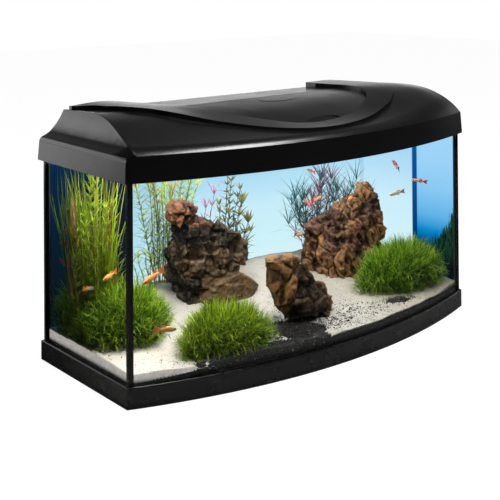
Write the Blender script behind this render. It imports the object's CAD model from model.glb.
import math
import bmesh
import bpy
import numpy as np
from mathutils import Matrix, Vector, noise


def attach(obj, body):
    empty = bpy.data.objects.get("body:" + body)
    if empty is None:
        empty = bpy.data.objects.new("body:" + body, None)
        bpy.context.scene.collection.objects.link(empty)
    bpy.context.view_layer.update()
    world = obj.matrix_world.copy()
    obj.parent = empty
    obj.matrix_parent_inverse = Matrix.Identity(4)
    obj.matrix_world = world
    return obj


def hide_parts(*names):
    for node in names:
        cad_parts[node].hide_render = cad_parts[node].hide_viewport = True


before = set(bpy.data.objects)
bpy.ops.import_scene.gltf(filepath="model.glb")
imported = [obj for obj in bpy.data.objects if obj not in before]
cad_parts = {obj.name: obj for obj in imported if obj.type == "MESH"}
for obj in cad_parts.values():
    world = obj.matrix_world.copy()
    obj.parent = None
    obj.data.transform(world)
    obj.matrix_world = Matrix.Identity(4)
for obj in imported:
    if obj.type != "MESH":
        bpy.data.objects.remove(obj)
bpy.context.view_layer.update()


PI = math.pi
scene = bpy.context.scene

# ------------------------------------------------------------------ the tank's own dimensions (metres)
HALF_W, BACK_Y, CORNER_Y = 0.404, 0.180, -0.107
BOW_R = (404.0**2 + 73.0**2) / (2 * 73.0) / 1000
BOW_CY = -0.180 + BOW_R
GLASS_X, GLASS_BACK = 0.395, 0.171          # inner faces of the side and back panes
TANK_FLOOR, RIM_Z = 0.022, 0.394


def arc_y(x, grow=0.0):
    r = BOW_R + grow
    return BOW_CY - np.sqrt(r * r - np.square(x))


def smooth(a, b, x):
    t = np.clip((x - a) / (b - a), 0, 1)
    return t * t * (3 - 2 * t)


def open_patch(x, y):
    """0 where sand lies on top, 1 where the dark soil shows: a patch behind the bow and a strip under the front grass."""
    d = y - arc_y(np.clip(x, -0.395, 0.395), -0.009)
    wob = 0.16 * np.sin(x * 88 + 1) * np.sin(y * 104 + 2) + 0.10 * np.sin(x * 231 + 3 * np.sin(y * 60)) * np.sin(y * 187 + 1) + 0.06 * np.sin(x * 420) * np.sin(y * 390)
    g1 = np.exp(-((x + 0.045) / 0.052) ** 2 - ((y + 0.104) / 0.064) ** 2)
    g2 = np.exp(-((x + 0.150) / 0.140) ** 2 - ((d - 0.004) / 0.036) ** 2)
    g3 = 0.9 * np.exp(-((x - 0.215) / 0.034) ** 2 - ((y + 0.108) / 0.016) ** 2)
    return smooth(.40, .66, np.maximum(np.maximum(g1, g2), g3) + wob * 0.8)


def soil_z(x, y):
    """Height of the dark soil, metres in and out."""
    k = open_patch(x, y)
    x, y = x * 1000, y * 1000
    return (38 + 9 * smooth(-395, -220, x) * (1 - .6 * smooth(230, 395, x)) + 6 * k) / 1000


def sand_z(x, y):
    k = open_patch(x, y)
    x, y = x * 1000, y * 1000
    return (50 + 43 * smooth(-130, 175, y) * (1 - .85 * smooth(-235, -390, x))
            + 8 * np.exp(-((x - 60) / 90) ** 2 - ((y - 120) / 90) ** 2)
            + 5 * np.exp(-((x - 110) / 70) ** 2 - ((y + 95) / 40) ** 2) - 7 * smooth(240, 395, x) * smooth(-60, 100, y)
            + 1.6 * np.sin(x / 23 + y / 60) * smooth(-150, -90, y) - 15 * k) / 1000


def ground_z(x, y):
    return np.maximum(soil_z(x, y), sand_z(x, y))


# ------------------------------------------------------------------ small helpers
def lin(r, g, b):
    """sRGB 0-255 to linear."""
    out = []
    for c in (r, g, b):
        c = c / 255
        out.append(c / 12.92 if c <= 0.04045 else ((c + 0.055) / 1.055) ** 2.4)
    return tuple(out)


def mesh_object(name, verts, faces, col=None, smooth_faces=True, mats=None, mat_index=None):
    me = bpy.data.meshes.new(name)
    me.from_pydata([tuple(v) for v in np.asarray(verts, float).tolist()], [], faces)
    if col is not None:
        a = me.color_attributes.new("Col", "FLOAT_COLOR", "POINT")
        rgba = np.ones((len(verts), 4), dtype=np.float32)
        rgba[:, :3] = np.asarray(col, dtype=np.float32)
        a.data.foreach_set("color", rgba.ravel())
    if smooth_faces:
        me.polygons.foreach_set("use_smooth", [True] * len(me.polygons))
    for m in mats or []:
        me.materials.append(m)
    if mat_index is not None:
        me.polygons.foreach_set("material_index", mat_index)
    me.update()
    ob = bpy.data.objects.new(name, me)
    scene.collection.objects.link(ob)
    return ob


class Net:
    """A material built from nodes."""

    def __init__(self, name):
        self.mat = bpy.data.materials.new(name)
        self.mat.use_nodes = True
        self.nt = self.mat.node_tree
        self.nt.nodes.clear()
        self.out = self.nt.nodes.new("ShaderNodeOutputMaterial")

    def put(self, sock, v):
        if isinstance(v, bpy.types.NodeSocket):
            self.nt.links.new(v, sock)
        elif sock.type == "RGBA" and not hasattr(v, "__len__"):
            sock.default_value = (v, v, v, 1)
        elif sock.type == "RGBA" and len(v) == 3:
            sock.default_value = (*v, 1)
        else:
            sock.default_value = v

    def add(self, kind, ins=None, **props):
        n = self.nt.nodes.new("ShaderNode" + kind)
        for k, v in props.items():
            setattr(n, k, v)
        for k, v in (ins or {}).items():
            self.put(n.inputs[k], v)
        return n

    def math(self, op, a, b=0.0, c=0.0, clamp=False):
        n = self.add("Math", operation=op, use_clamp=clamp)
        self.put(n.inputs[0], a)
        self.put(n.inputs[1], b)
        if op in ("MULTIPLY_ADD", "COMPARE", "WRAP", "SMOOTH_MIN", "SMOOTH_MAX"):
            self.put(n.inputs[2], c)
        return n.outputs[0]

    def range(self, v, a, b, lo=0.0, hi=1.0, kind="SMOOTHSTEP"):
        n = self.add("MapRange", {0: v, 1: a, 2: b, 3: lo, 4: hi}, interpolation_type=kind)
        return n.outputs[0]

    def coords(self):
        return self.add("TexCoord").outputs["Object"]

    def xyz(self, v):
        n = self.add("SeparateXYZ", {0: v})
        return n.outputs[0], n.outputs[1], n.outputs[2]

    def scaled(self, v, x, y, z):
        return self.add("Mapping", {"Vector": v, "Scale": (x, y, z)}).outputs[0]

    def noise(self, v, scale, detail=4.0, rough=0.55, dist=0.0):
        return self.add("TexNoise", {"Vector": v, "Scale": scale, "Detail": detail, "Roughness": rough, "Distortion": dist}).outputs[0]

    def voronoi(self, v, scale, feature="F1", rand=1.0):
        return self.add("TexVoronoi", {"Vector": v, "Scale": scale, "Randomness": rand}, feature=feature)

    def ramp(self, fac, stops, mode="LINEAR"):
        n = self.add("ValToRGB", {0: fac})
        el = n.color_ramp.elements
        n.color_ramp.interpolation = mode
        while len(el) < len(stops):
            el.new(0.5)
        for e, (p, c) in zip(el, stops):
            e.position = p
            e.color = (*c, 1) if hasattr(c, "__len__") else (c, c, c, 1)
        return n.outputs[0]

    def mix(self, fac, a, b, mode="MIX"):
        n = self.add("Mix", data_type="RGBA", blend_type=mode)
        self.put(n.inputs[0], fac)
        self.put(n.inputs[6], a)
        self.put(n.inputs[7], b)
        return n.outputs[2]

    def bump(self, height, strength, distance, normal=None):
        ins = {"Height": height, "Strength": strength, "Distance": distance}
        if normal is not None:
            ins["Normal"] = normal
        return self.add("Bump", ins).outputs[0]

    def principled(self, **ins):
        n = self.add("BsdfPrincipled", {k.replace("_", " "): v for k, v in ins.items()})
        return n.outputs[0]

    def end(self, shader):
        self.nt.links.new(shader, self.out.inputs[0])
        return self.mat


# ------------------------------------------------------------------ materials
def plastic(name, colour, rough, grain=1100.0, grain_depth=0.00004, wave=0.00025, dust=0.3, coat=0.0, rolled=False):
    """Moulded plastic: fine spark-eroded grain, slight sink waves, a little dust on top, polished edges."""
    n = Net(name)
    p = n.coords()
    geo = n.add("NewGeometry")
    nz = n.xyz(geo.outputs["Normal"])[2]
    fine = n.noise(p, grain, 3.0, 0.6)
    mid = n.noise(p, 55.0, 5.0, 0.6)
    large = n.noise(p, 6.0, 2.0, 0.5)
    smear = n.noise(n.scaled(p, 5.0, 9.0, 9.0), 3.0, 4.0, 0.6, 0.4)
    settle = n.math("MULTIPLY", n.range(nz, 0.5, 1.0), n.range(mid, 0.42, 0.75), clamp=True)
    dusty = n.math("MULTIPLY", settle, dust * 0.012)
    base = n.mix(n.range(large, 0.35, 0.7), tuple(c * 0.85 for c in colour), tuple(c * 1.2 for c in colour))
    base = n.mix(n.math("MULTIPLY", fine, 0.25), base, tuple(c * 1.6 for c in colour))
    base = n.mix(dusty, base, (0.35, 0.34, 0.32))
    r = n.math("MULTIPLY_ADD", n.range(smear, 0.35, 0.75), 0.03, rough - 0.015)
    r = n.math("MULTIPLY_ADD", n.range(mid, 0.3, 0.8), 0.03, r)
    r = n.math("ADD", r, n.math("MULTIPLY", dusty, 1.2), clamp=True)
    if not rolled:
        b = n.bump(large, 0.6, wave)
    else:
        # the crown rolls over softly where it meets the front skirt, and the skirt is one smooth bow
        px, py, pz = n.xyz(p)
        ey = n.math("SUBTRACT", py, BOW_CY)
        rad = n.math("SQRT", n.math("ADD", n.math("MULTIPLY", px, px), n.math("MULTIPLY", ey, ey)))
        tx, ty, tz = n.xyz(geo.outputs["True Normal"])
        on_bow = n.math("MULTIPLY", n.math("LESS_THAN", ty, -0.6), n.math("LESS_THAN", n.math("ABSOLUTE", tz), 0.25))
        bow = n.add("CombineXYZ", {0: n.math("DIVIDE", px, rad), 1: n.math("DIVIDE", ey, rad), 2: 0.06}).outputs[0]
        pick = n.add("Mix", data_type="VECTOR")
        n.put(pick.inputs[0], on_bow)
        n.put(pick.inputs[4], geo.outputs["Normal"])
        n.put(pick.inputs[5], n.add("VectorMath", {0: bow}, operation="NORMALIZE").outputs[0])
        b = n.bump(large, 0.6, wave, pick.outputs[1])
        t = n.math("SUBTRACT", 1.0, n.math("DIVIDE", n.math("SUBTRACT", BOW_R + 0.0034, rad), 0.048), clamp=True)
        drop = n.math("MULTIPLY", n.math("MULTIPLY", n.math("MULTIPLY", t, t), -0.0245), n.range(nz, 0.5, 0.8))
        b = n.bump(drop, 1.0, 1.0, b)
    b = n.bump(fine, 0.55, grain_depth, b)
    ins = dict(Base_Color=base, Roughness=r, Normal=b, IOR=1.5)
    if coat:
        ins.update(Coat_Weight=coat, Coat_Roughness=0.12)
    return n.end(n.principled(**ins))


def glass(name, kind):
    """A thin pane: clear through its faces, green along its edges, mirror-like from inside a side pane."""
    n = Net(name)
    p = n.coords()
    x, y, z = n.xyz(p)
    geo = n.add("NewGeometry")
    nx, ny, nz = n.xyz(geo.outputs["True Normal"])
    back = geo.outputs["Backfacing"]
    fres = n.add("Fresnel", {"IOR": 1.5}).outputs[0]
    # faint wiping marks and dried splashes near the top
    wipe = n.noise(n.scaled(p, 14.0, 14.0, 3.0), 2.0, 5.0, 0.6, 0.8)
    drops = n.voronoi(p, 90.0).outputs["Distance"]
    spots = n.math("MULTIPLY", n.range(drops, 0.16, 0.08), n.range(n.noise(p, 14.0, 2.0), 0.55, 0.7), clamp=True)
    haze = n.math("MULTIPLY", n.range(wipe, 0.45, 0.8), 0.006)
    haze = n.math("MULTIPLY_ADD", spots, 0.02, haze)
    clear = n.add("BsdfTransparent", {"Color": (0.985, 0.995, 0.992)}).outputs[0]
    gloss = n.add("BsdfGlossy", {"Color": (0.95, 1.0, 0.98), "Roughness": n.math("MULTIPLY_ADD", wipe, 0.03, 0.0)}).outputs[0]
    film = n.add("BsdfDiffuse", {"Color": (0.8, 0.85, 0.85)}).outputs[0]
    front = n.math("SUBTRACT", 1.0, back)
    amount = n.math("MULTIPLY", n.math("MULTIPLY", fres, 0.10), front)
    face = n.add("MixShader", {0: amount, 1: clear, 2: gloss}).outputs[0]
    face = n.add("MixShader", {0: n.math("MULTIPLY", haze, front), 1: face, 2: film}).outputs[0]
    if kind == "side":
        # seen from inside at a flat angle, the water side of a side pane reflects like a mirror
        centre = n.math("MULTIPLY", n.math("SIGN", x), nx)
        inward = n.math("MULTIPLY", n.range(centre, -0.5, -0.9), front, clamp=True)
        ix, iy, iz = n.xyz(geo.outputs["Incoming"])
        flat = n.math("ABSOLUTE", ix)
        tir = n.range(flat, 0.92, 0.86)
        h = n.range(z, 0.10, 0.37, kind="LINEAR")
        deep = n.ramp(h, [(0.0, lin(2, 12, 26)), (0.05, lin(0, 48, 86)), (0.10, lin(1, 106, 164)), (0.16, lin(6, 140, 208)), (0.28, lin(98, 181, 233)),
                          (0.485, lin(139, 203, 247)), (0.70, lin(158, 212, 250)), (1.0, lin(166, 217, 251))])
        pale = n.ramp(h, [(0.0, lin(214, 244, 252)), (0.35, lin(205, 239, 253)), (0.62, lin(180, 224, 249)), (1.0, lin(150, 209, 243))])
        far = n.range(y, 0.0150, 0.0190)
        strip = n.math("MULTIPLY", n.range(y, 0.0030, 0.0065), n.range(y, 0.0205, 0.0165), clamp=True)
        view = n.mix(far, deep, pale)
        view = n.mix(strip, view, n.ramp(h, [(0.0, lin(0, 50, 105)), (0.6, lin(0, 82, 152)), (1.0, lin(0, 92, 165))]))
        # mirrored leaves rise towards the front corner
        tuft = n.noise(n.scaled(p, 1.0, 260.0, 34.0), 1.0, 4.0, 0.7, 0.5)
        rim = n.math("MULTIPLY_ADD", n.range(y, -0.030, -0.115), 0.082, 0.118)
        leafy_z = n.math("MULTIPLY_ADD", n.math("SUBTRACT", tuft, 0.5), 0.11, rim)
        tufts = n.math("MULTIPLY", n.range(n.math("SUBTRACT", leafy_z, z), -0.004, 0.008), n.range(y, -0.022, -0.034), clamp=True)
        leafc = n.mix(n.range(n.noise(n.scaled(p, 1.0, 420.0, 60.0), 1.0, 3.0, 0.7), 0.42, 0.62), lin(3, 22, 26), lin(30, 74, 44))
        leafc = n.mix(n.range(z, 0.125, 0.065), leafc, lin(4, 10, 16))
        view = n.mix(n.math("MULTIPLY", tufts, n.range(z, 0.05, 0.08)), view, leafc)
        glow = n.add("Emission", {"Color": view, "Strength": 1.0}).outputs[0]
        mirror = n.add("BsdfGlossy", {"Color": (0.93, 0.97, 0.99), "Roughness": 0.02}).outputs[0]
        glow = n.add("MixShader", {0: 0.0, 1: glow, 2: mirror}).outputs[0]
        lpath = n.add("LightPath")
        shown = n.math("MULTIPLY", n.math("MULTIPLY", inward, tir), lpath.outputs["Is Camera Ray"])
        face = n.add("MixShader", {0: shown, 1: face, 2: glow}).outputs[0]
    # edges of the float glass
    streak = n.noise(n.scaled(p, 60.0, 60.0, 60.0), 4.0, 4.0, 0.6)
    edge_col = n.mix(streak, (0.004, 0.03, 0.022), (0.02, 0.11, 0.085))
    edge = n.principled(Base_Color=edge_col, Roughness=0.18, IOR=1.5)
    black = n.principled(Base_Color=(0.006, 0.006, 0.007), Roughness=n.math("MULTIPLY_ADD", streak, 0.2, 0.15))
    if kind == "front":
        # the ends of the front pane show the black bond behind them
        is_end = n.range(n.math("ABSOLUTE", nx), 0.85, 0.97)
        is_top = n.range(n.math("ABSOLUTE", nz), 0.2, 0.35)
        face = n.add("MixShader", {0: is_end, 1: face, 2: black}).outputs[0]
        face = n.add("MixShader", {0: is_top, 1: face, 2: edge}).outputs[0]
    elif kind == "flat":
        is_side = n.range(n.math("ABSOLUTE", nz), 0.8, 0.6)
        face = n.add("MixShader", {0: is_side, 1: face, 2: edge}).outputs[0]
    else:
        across = n.math("ABSOLUTE", nx if kind == "side" else ny)
        is_edge = n.range(across, 0.9, 0.75)
        face = n.add("MixShader", {0: is_edge, 1: face, 2: edge}).outputs[0]
    return n.end(face)


def silicone():
    n = Net("silicone_black")
    p = n.coords()
    w = n.noise(n.scaled(p, 60, 60, 12), 3.0, 4.0, 0.5)
    tool = n.noise(n.scaled(p, 400, 400, 20), 2.0, 2.0, 0.5)
    col = n.mix(w, (0.005, 0.005, 0.006), (0.016, 0.016, 0.018))
    return n.end(n.principled(Base_Color=col, Roughness=n.math("MULTIPLY_ADD", tool, 0.25, 0.18), Normal=n.bump(tool, 0.5, 0.0002)))


def clear_silicone():
    """Clear bead in the rear corner: it takes the colour of the lit print beside it."""
    n = Net("silicone_clear")
    p = n.coords()
    z = n.xyz(p)[2]
    w = n.noise(n.scaled(p, 60, 60, 12), 3.0, 4.0, 0.5)
    h = n.range(n.math("MULTIPLY_ADD", w, 0.01, z), 0.10, 0.395, kind="LINEAR")
    sky = n.ramp(h, [(0.0, lin(208, 241, 250)), (0.35, lin(196, 233, 249)), (0.62, lin(164, 213, 243)), (1.0, lin(114, 186, 229))])
    em = n.add("Emission", {"Color": sky, "Strength": n.math("MULTIPLY_ADD", n.add("LightPath").outputs["Is Camera Ray"], 0.65, 0.25)}).outputs[0]
    pr = n.principled(Base_Color=(0.45, 0.6, 0.68), Roughness=n.math("MULTIPLY_ADD", w, 0.2, 0.15), Normal=n.bump(w, 0.4, 0.0003))
    return n.end(n.add("MixShader", {0: 0.08, 1: em, 2: pr}).outputs[0])


def film_material():
    """Printed sky-blue background, lit from behind: pale at the horizon, deeper above and at the ends."""
    n = Net("background_print")
    p = n.coords()
    x, y, z = n.xyz(p)
    geo = n.add("NewGeometry")
    ix, iy, iz = n.xyz(geo.outputs["Incoming"])
    lp = n.add("LightPath")
    h = n.range(z, 0.10, 0.395, kind="LINEAR")
    cloud = n.noise(n.scaled(p, 3.0, 1.0, 6.0), 2.0, 4.0, 0.5)
    h2 = n.math("MULTIPLY_ADD", n.math("SUBTRACT", cloud, 0.5), 0.08, h)
    sky = n.ramp(h2, [(0.0, lin(214, 246, 253)), (0.35, lin(205, 240, 253)), (0.62, lin(170, 219, 247)),
                      (0.85, lin(140, 204, 240)), (1.0, lin(118, 190, 232))])
    ends = n.range(x, -0.12, -0.36)
    sky = n.mix(n.math("MULTIPLY", ends, 0.8), sky, n.ramp(h2, [(0.0, lin(70, 170, 225)), (0.5, lin(110, 190, 235)), (1.0, lin(125, 196, 238))]))
    # seen in the side pane's mirror
    mirrored = n.ramp(h, [(0.0, lin(0, 30, 62)), (0.22, lin(0, 62, 120)), (0.42, lin(20, 120, 190)), (0.60, lin(92, 180, 236)),
                          (0.8, lin(135, 203, 242)), (1.0, lin(158, 214, 250))])
    # seen through a side pane the print sinks into dark blue
    t = n.math("DIVIDE", n.math("SUBTRACT", n.math("MULTIPLY", n.math("SIGN", ix), 0.4), x), ix)
    cross_y = n.math("MULTIPLY_ADD", t, iy, y)
    through_side = n.range(cross_y, -0.112, -0.104)
    deep = n.ramp(n.math("MULTIPLY_ADD", n.math("SUBTRACT", n.noise(p, 7.0, 2.0, 0.5), 0.5), 0.35, h),
                  [(0.0, lin(8, 22, 26)), (0.4, lin(6, 28, 44)), (0.75, lin(4, 36, 66)), (1.0, lin(10, 62, 96))])
    grain = n.noise(p, 420.0, 2.0, 0.5)
    cam = lp.outputs["Is Camera Ray"]
    glo = lp.outputs["Is Glossy Ray"]
    col = n.mix(n.math("MULTIPLY", through_side, cam), sky, deep)
    col = n.mix(glo, col, mirrored)
    col = n.mix(0.03, col, n.mix(grain, (0.6, 0.8, 0.9), (0.9, 0.98, 1.0)), "MULTIPLY")
    strength = n.math("SUBTRACT", 1.0, n.math("MULTIPLY", n.math("SUBTRACT", 1.0, n.math("MAXIMUM", cam, glo)), 0.55))
    em = n.add("Emission", {"Color": col, "Strength": strength}).outputs[0]
    paper = n.principled(Base_Color=(0.75, 0.82, 0.86), Roughness=n.math("MULTIPLY_ADD", grain, 0.2, 0.5))
    rear = n.range(ny_of(n, geo), 0.3, 0.7)
    return n.end(n.add("MixShader", {0: rear, 1: em, 2: paper}).outputs[0])


def ny_of(n, geo):
    """+1 where the true outward normal points to the rear."""
    return n.xyz(geo.outputs["True Normal"])[1]


def metal(name, colour, rough, stretch=(200.0, 6.0, 200.0)):
    n = Net(name)
    p = n.coords()
    brush = n.noise(n.scaled(p, *stretch), 3.0, 4.0, 0.6)
    tone = n.noise(p, 30.0, 3.0, 0.5)
    col = n.mix(tone, tuple(c * 0.85 for c in colour), colour)
    return n.end(n.principled(Base_Color=col, Metallic=1.0, Roughness=n.math("MULTIPLY_ADD", brush, 0.22, rough - 0.1),
                              Normal=n.bump(brush, 0.4, 0.00006)))


def board_material():
    n = Net("board_white")
    p = n.coords()
    tone = n.noise(p, 120.0, 4.0, 0.6)
    tracks = n.add("TexBrick", {"Vector": n.scaled(p, 1, 1, 1), "Color1": (0.82, 0.84, 0.82, 1), "Color2": (0.78, 0.8, 0.78, 1),
                                "Mortar": (0.62, 0.66, 0.6, 1), "Scale": 40.0, "Mortar Size": 0.02}).outputs[0]
    return n.end(n.principled(Base_Color=n.mix(n.math("MULTIPLY", tone, 0.3), tracks, (0.7, 0.72, 0.68)), Roughness=0.4))


def led_material():
    n = Net("led_lit")
    p = n.coords()
    cell = n.voronoi(p, 350.0).outputs["Distance"]
    col = n.mix(n.range(cell, 0.1, 0.6), (1.0, 0.97, 0.85), (1.0, 0.9, 0.6))
    em = n.add("Emission", {"Color": col, "Strength": 3.0}).outputs[0]
    pr = n.principled(Base_Color=col, Roughness=0.25)
    return n.end(n.add("MixShader", {0: 0.6, 1: pr, 2: em}).outputs[0])


def diffuser_material():
    n = Net("diffuser_frosted")
    p = n.coords()
    rib = n.add("TexWave", {"Vector": p, "Scale": 140.0, "Distortion": 0.3}, bands_direction="Y").outputs[1]
    tone = n.noise(p, 50.0, 3.0)
    tl = n.add("BsdfTranslucent", {"Color": (0.9, 0.95, 1.0)}).outputs[0]
    tr = n.add("BsdfTransparent", {"Color": (0.93, 0.96, 0.98)}).outputs[0]
    pr = n.principled(Base_Color=n.mix(tone, (0.8, 0.86, 0.9), (0.9, 0.94, 0.97)), Roughness=0.25, Normal=n.bump(rib, 0.4, 0.0002))
    m = n.add("MixShader", {0: 0.55, 1: tl, 2: tr}).outputs[0]
    m = n.add("MixShader", {0: 0.35, 1: m, 2: pr}).outputs[0]
    em = n.add("Emission", {"Color": (0.93, 0.97, 1.0), "Strength": 0.7}).outputs[0]
    return n.end(n.add("AddShader", {0: m, 1: em}).outputs[0])


def sand_material():
    """Fine pale sand: ivory grains, grey damp patches, stray black grains, darker where soil shows through."""
    n = Net("sand_pale")
    p = n.coords()
    x, y, z = n.xyz(p)
    geo = n.add("NewGeometry")
    grain = n.noise(p, 900.0, 3.0, 0.7)
    mid = n.noise(p, 60.0, 5.0, 0.6)
    broad = n.noise(p, 11.0, 4.0, 0.55)
    col = n.mix(n.range(broad, 0.35, 0.7), (0.240, 0.224, 0.200), (0.305, 0.290, 0.266))
    col = n.mix(n.range(x, 0.06, 0.22), col, n.mix(1.0, col, (0.82, 0.78, 0.70), "MULTIPLY"))
    col = n.mix(n.math("MULTIPLY", n.range(mid, 0.5, 0.75), 0.35), col, (0.19, 0.165, 0.13))
    col = n.mix(n.math("MULTIPLY", grain, 0.20), col, (0.40, 0.385, 0.36))
    # dark grains, thick near the front edge and round the soil patch, thin elsewhere
    sx = n.math("DIVIDE", n.math("ADD", x, 0.03), 0.17)
    sy = n.math("DIVIDE", n.math("ADD", y, 0.10), 0.055)
    near = n.math("EXPONENT", n.math("MULTIPLY", n.math("ADD", n.math("MULTIPLY", sx, sx), n.math("MULTIPLY", sy, sy)), -1.0))
    rx = n.math("DIVIDE", n.math("SUBTRACT", x, 0.075), 0.065)
    ry = n.math("DIVIDE", n.math("ADD", y, 0.118), 0.040)
    right = n.math("EXPONENT", n.math("MULTIPLY", n.math("ADD", n.math("MULTIPLY", rx, rx), n.math("MULTIPLY", ry, ry)), -1.0))
    dens = n.math("MAXIMUM", near, n.math("MULTIPLY", right, 0.5))
    dens = n.math("MULTIPLY_ADD", dens, n.range(n.noise(p, 30.0, 4.0, 0.7), 0.42, 0.68), 0.006)
    cells = n.voronoi(p, 460.0)
    rnd = n.xyz(cells.outputs["Color"])[0]
    speck = n.math("MULTIPLY", n.math("LESS_THAN", rnd, n.math("MULTIPLY", dens, 0.75)), n.range(cells.outputs["Distance"], 0.55, 0.4), clamp=True)
    tiny = n.voronoi(p, 800.0)
    rnd2 = n.xyz(tiny.outputs["Color"])[1]
    speck2 = n.math("LESS_THAN", rnd2, n.math("MULTIPLY_ADD", dens, 0.5, 0.004))
    col = n.mix(n.math("MAXIMUM", speck, speck2), col, (0.012, 0.011, 0.012))
    # the sides seen through the panes: coarser and shaded towards the soil
    nz = n.xyz(geo.outputs["True Normal"])[2]
    side = n.range(nz, 0.6, 0.2)
    veil = n.range(x, -0.30, -0.05)
    shade = n.math("MULTIPLY", side, n.math("MULTIPLY_ADD", veil, 0.75, 0.05))
    col = n.mix(shade, col, n.mix(n.range(n.noise(p, 45.0, 4.0, 0.6), 0.4, 0.6), (0.012, 0.012, 0.013), (0.10, 0.095, 0.09)))
    col = n.mix(n.range(x, -0.20, -0.34), col, n.mix(1.0, col, (1.55, 1.52, 1.5), "MULTIPLY"))
    h = n.math("MULTIPLY_ADD", grain, 0.5, n.math("MULTIPLY", mid, 0.6))
    bulk = n.principled(Base_Color=col, Roughness=0.9, Specular_IOR_Level=0.25, Normal=n.bump(h, 0.8, 0.0014))
    # at the left end the cut face glows with the light carried inside the sand
    face = n.mix(n.range(n.noise(p, 240.0, 3.0, 0.7), 0.35, 0.65), (0.42, 0.395, 0.36), (0.62, 0.59, 0.55))
    face = n.mix(n.range(z, 0.044, 0.037), face, (0.10, 0.095, 0.09))
    glow = n.add("Emission", {"Color": face, "Strength": 0.85}).outputs[0]
    part = n.math("MULTIPLY", side, n.math("SUBTRACT", 0.85, n.math("MULTIPLY", veil, 0.85)))
    return n.end(n.add("MixShader", {0: part, 1: bulk, 2: glow}).outputs[0])


def soil_material():
    n = Net("soil_black")
    p = n.coords()
    cells = n.voronoi(p, 420.0)
    rnd = n.xyz(cells.outputs["Color"])[0]
    col = n.mix(rnd, (0.003, 0.003, 0.0035), (0.02, 0.018, 0.017))
    pale = n.math("GREATER_THAN", rnd, 0.982)
    col = n.mix(n.math("MULTIPLY", pale, 0.6), col, (0.16, 0.15, 0.14))
    lump = n.math("SUBTRACT", 1.0, cells.outputs["Distance"])
    return n.end(n.principled(Base_Color=col, Roughness=0.75, Specular_IOR_Level=0.3, Normal=n.bump(lump, 1.0, 0.0012)))


def rock_material(name, strata=0.0, gain=1.0):
    """Stone: the mesh gives its tint and how deep each point is carved; mottling, bands, grit and worn ribs come from nodes."""
    n = Net(name)
    p = n.coords()
    tint = n.add("Attribute", attribute_name="Col").outputs["Color"]
    cav = n.add("Attribute", attribute_name="Cav").outputs["Fac"]
    point = n.add("NewGeometry").outputs["Pointiness"]
    big = n.noise(p, 20.0, 6.0, 0.65, 0.7)
    fine = n.noise(p, 150.0, 6.0, 0.72)
    grit = n.noise(p, 650.0, 3.0, 0.7)
    col = n.mix(n.range(big, 0.36, 0.64), n.mix(1.0, tint, (0.45, 0.42, 0.40), "MULTIPLY"), n.mix(1.0, tint, (1.35 * gain, 1.25 * gain, 1.10 * gain), "MULTIPLY"))
    col = n.mix(n.math("MULTIPLY", n.range(n.noise(p, 42.0, 4.0, 0.6, 0.3), 0.52, 0.66), 0.5), col, n.mix(1.0, tint, (1.7, 1.25, 0.75), "MULTIPLY"))
    if strata:
        band = n.add("TexWave", {"Vector": n.add("Mapping", {"Vector": p, "Rotation": (0.35, 0.5, 0.0)}).outputs[0], "Scale": strata,
                                 "Distortion": 6.0, "Detail": 4.0, "Detail Scale": 1.5}, bands_direction="Z").outputs[1]
        col = n.mix(n.math("MULTIPLY", n.range(band, 0.35, 0.9), 0.5), col, n.mix(1.0, col, (0.35, 0.33, 0.3), "MULTIPLY"))
    low = n.range(cav, 0.46, 0.12)
    high = n.range(cav, 0.58, 0.92)
    col = n.mix(n.math("MULTIPLY", low, 0.9), col, n.mix(1.0, tint, (0.10, 0.08, 0.07), "MULTIPLY"))
    col = n.mix(n.math("MULTIPLY", high, 0.65), col, n.mix(1.0, tint, (2.1 * gain, 1.9 * gain, 1.7 * gain), "MULTIPLY"))
    col = n.mix(n.math("MULTIPLY", n.range(point, 0.492, 0.44), 0.8), col, n.mix(1.0, tint, (0.12, 0.1, 0.09), "MULTIPLY"))
    col = n.mix(n.math("MULTIPLY", n.range(point, 0.515, 0.58), 0.55), col, n.mix(1.0, tint, (2.3 * gain, 2.1 * gain, 1.85 * gain), "MULTIPLY"))
    col = n.mix(n.math("MULTIPLY", n.range(fine, 0.40, 0.62), 0.45), col, n.mix(1.0, col, (0.40, 0.38, 0.36), "MULTIPLY"))
    col = n.mix(n.math("MULTIPLY", n.range(grit, 0.6, 0.75), 0.25), col, n.mix(1.0, col, (1.9, 1.9, 1.9), "MULTIPLY"))
    hgt = n.math("MULTIPLY_ADD", fine, 1.0, n.math("MULTIPLY", grit, 0.35))
    return n.end(n.principled(Base_Color=col, Roughness=n.math("MULTIPLY_ADD", fine, 0.25, 0.55), Specular_IOR_Level=0.4,
                              Normal=n.bump(hgt, 1.0, 0.003)))


def wood_material():
    n = Net("wood_sunken")
    p = n.coords()
    fibre = n.noise(n.scaled(p, 160, 160, 14), 1.5, 6.0, 0.65, 0.6)
    blot = n.noise(p, 22.0, 4.0, 0.6)
    col = n.ramp(fibre, [(0.3, (0.03, 0.015, 0.008)), (0.5, (0.14, 0.07, 0.032)), (0.7, (0.32, 0.18, 0.09))])
    col = n.mix(n.math("MULTIPLY", n.range(blot, 0.45, 0.7), 0.6), col, (0.035, 0.03, 0.022))
    return n.end(n.principled(Base_Color=col, Roughness=0.7, Normal=n.bump(fibre, 0.9, 0.002)))


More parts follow.
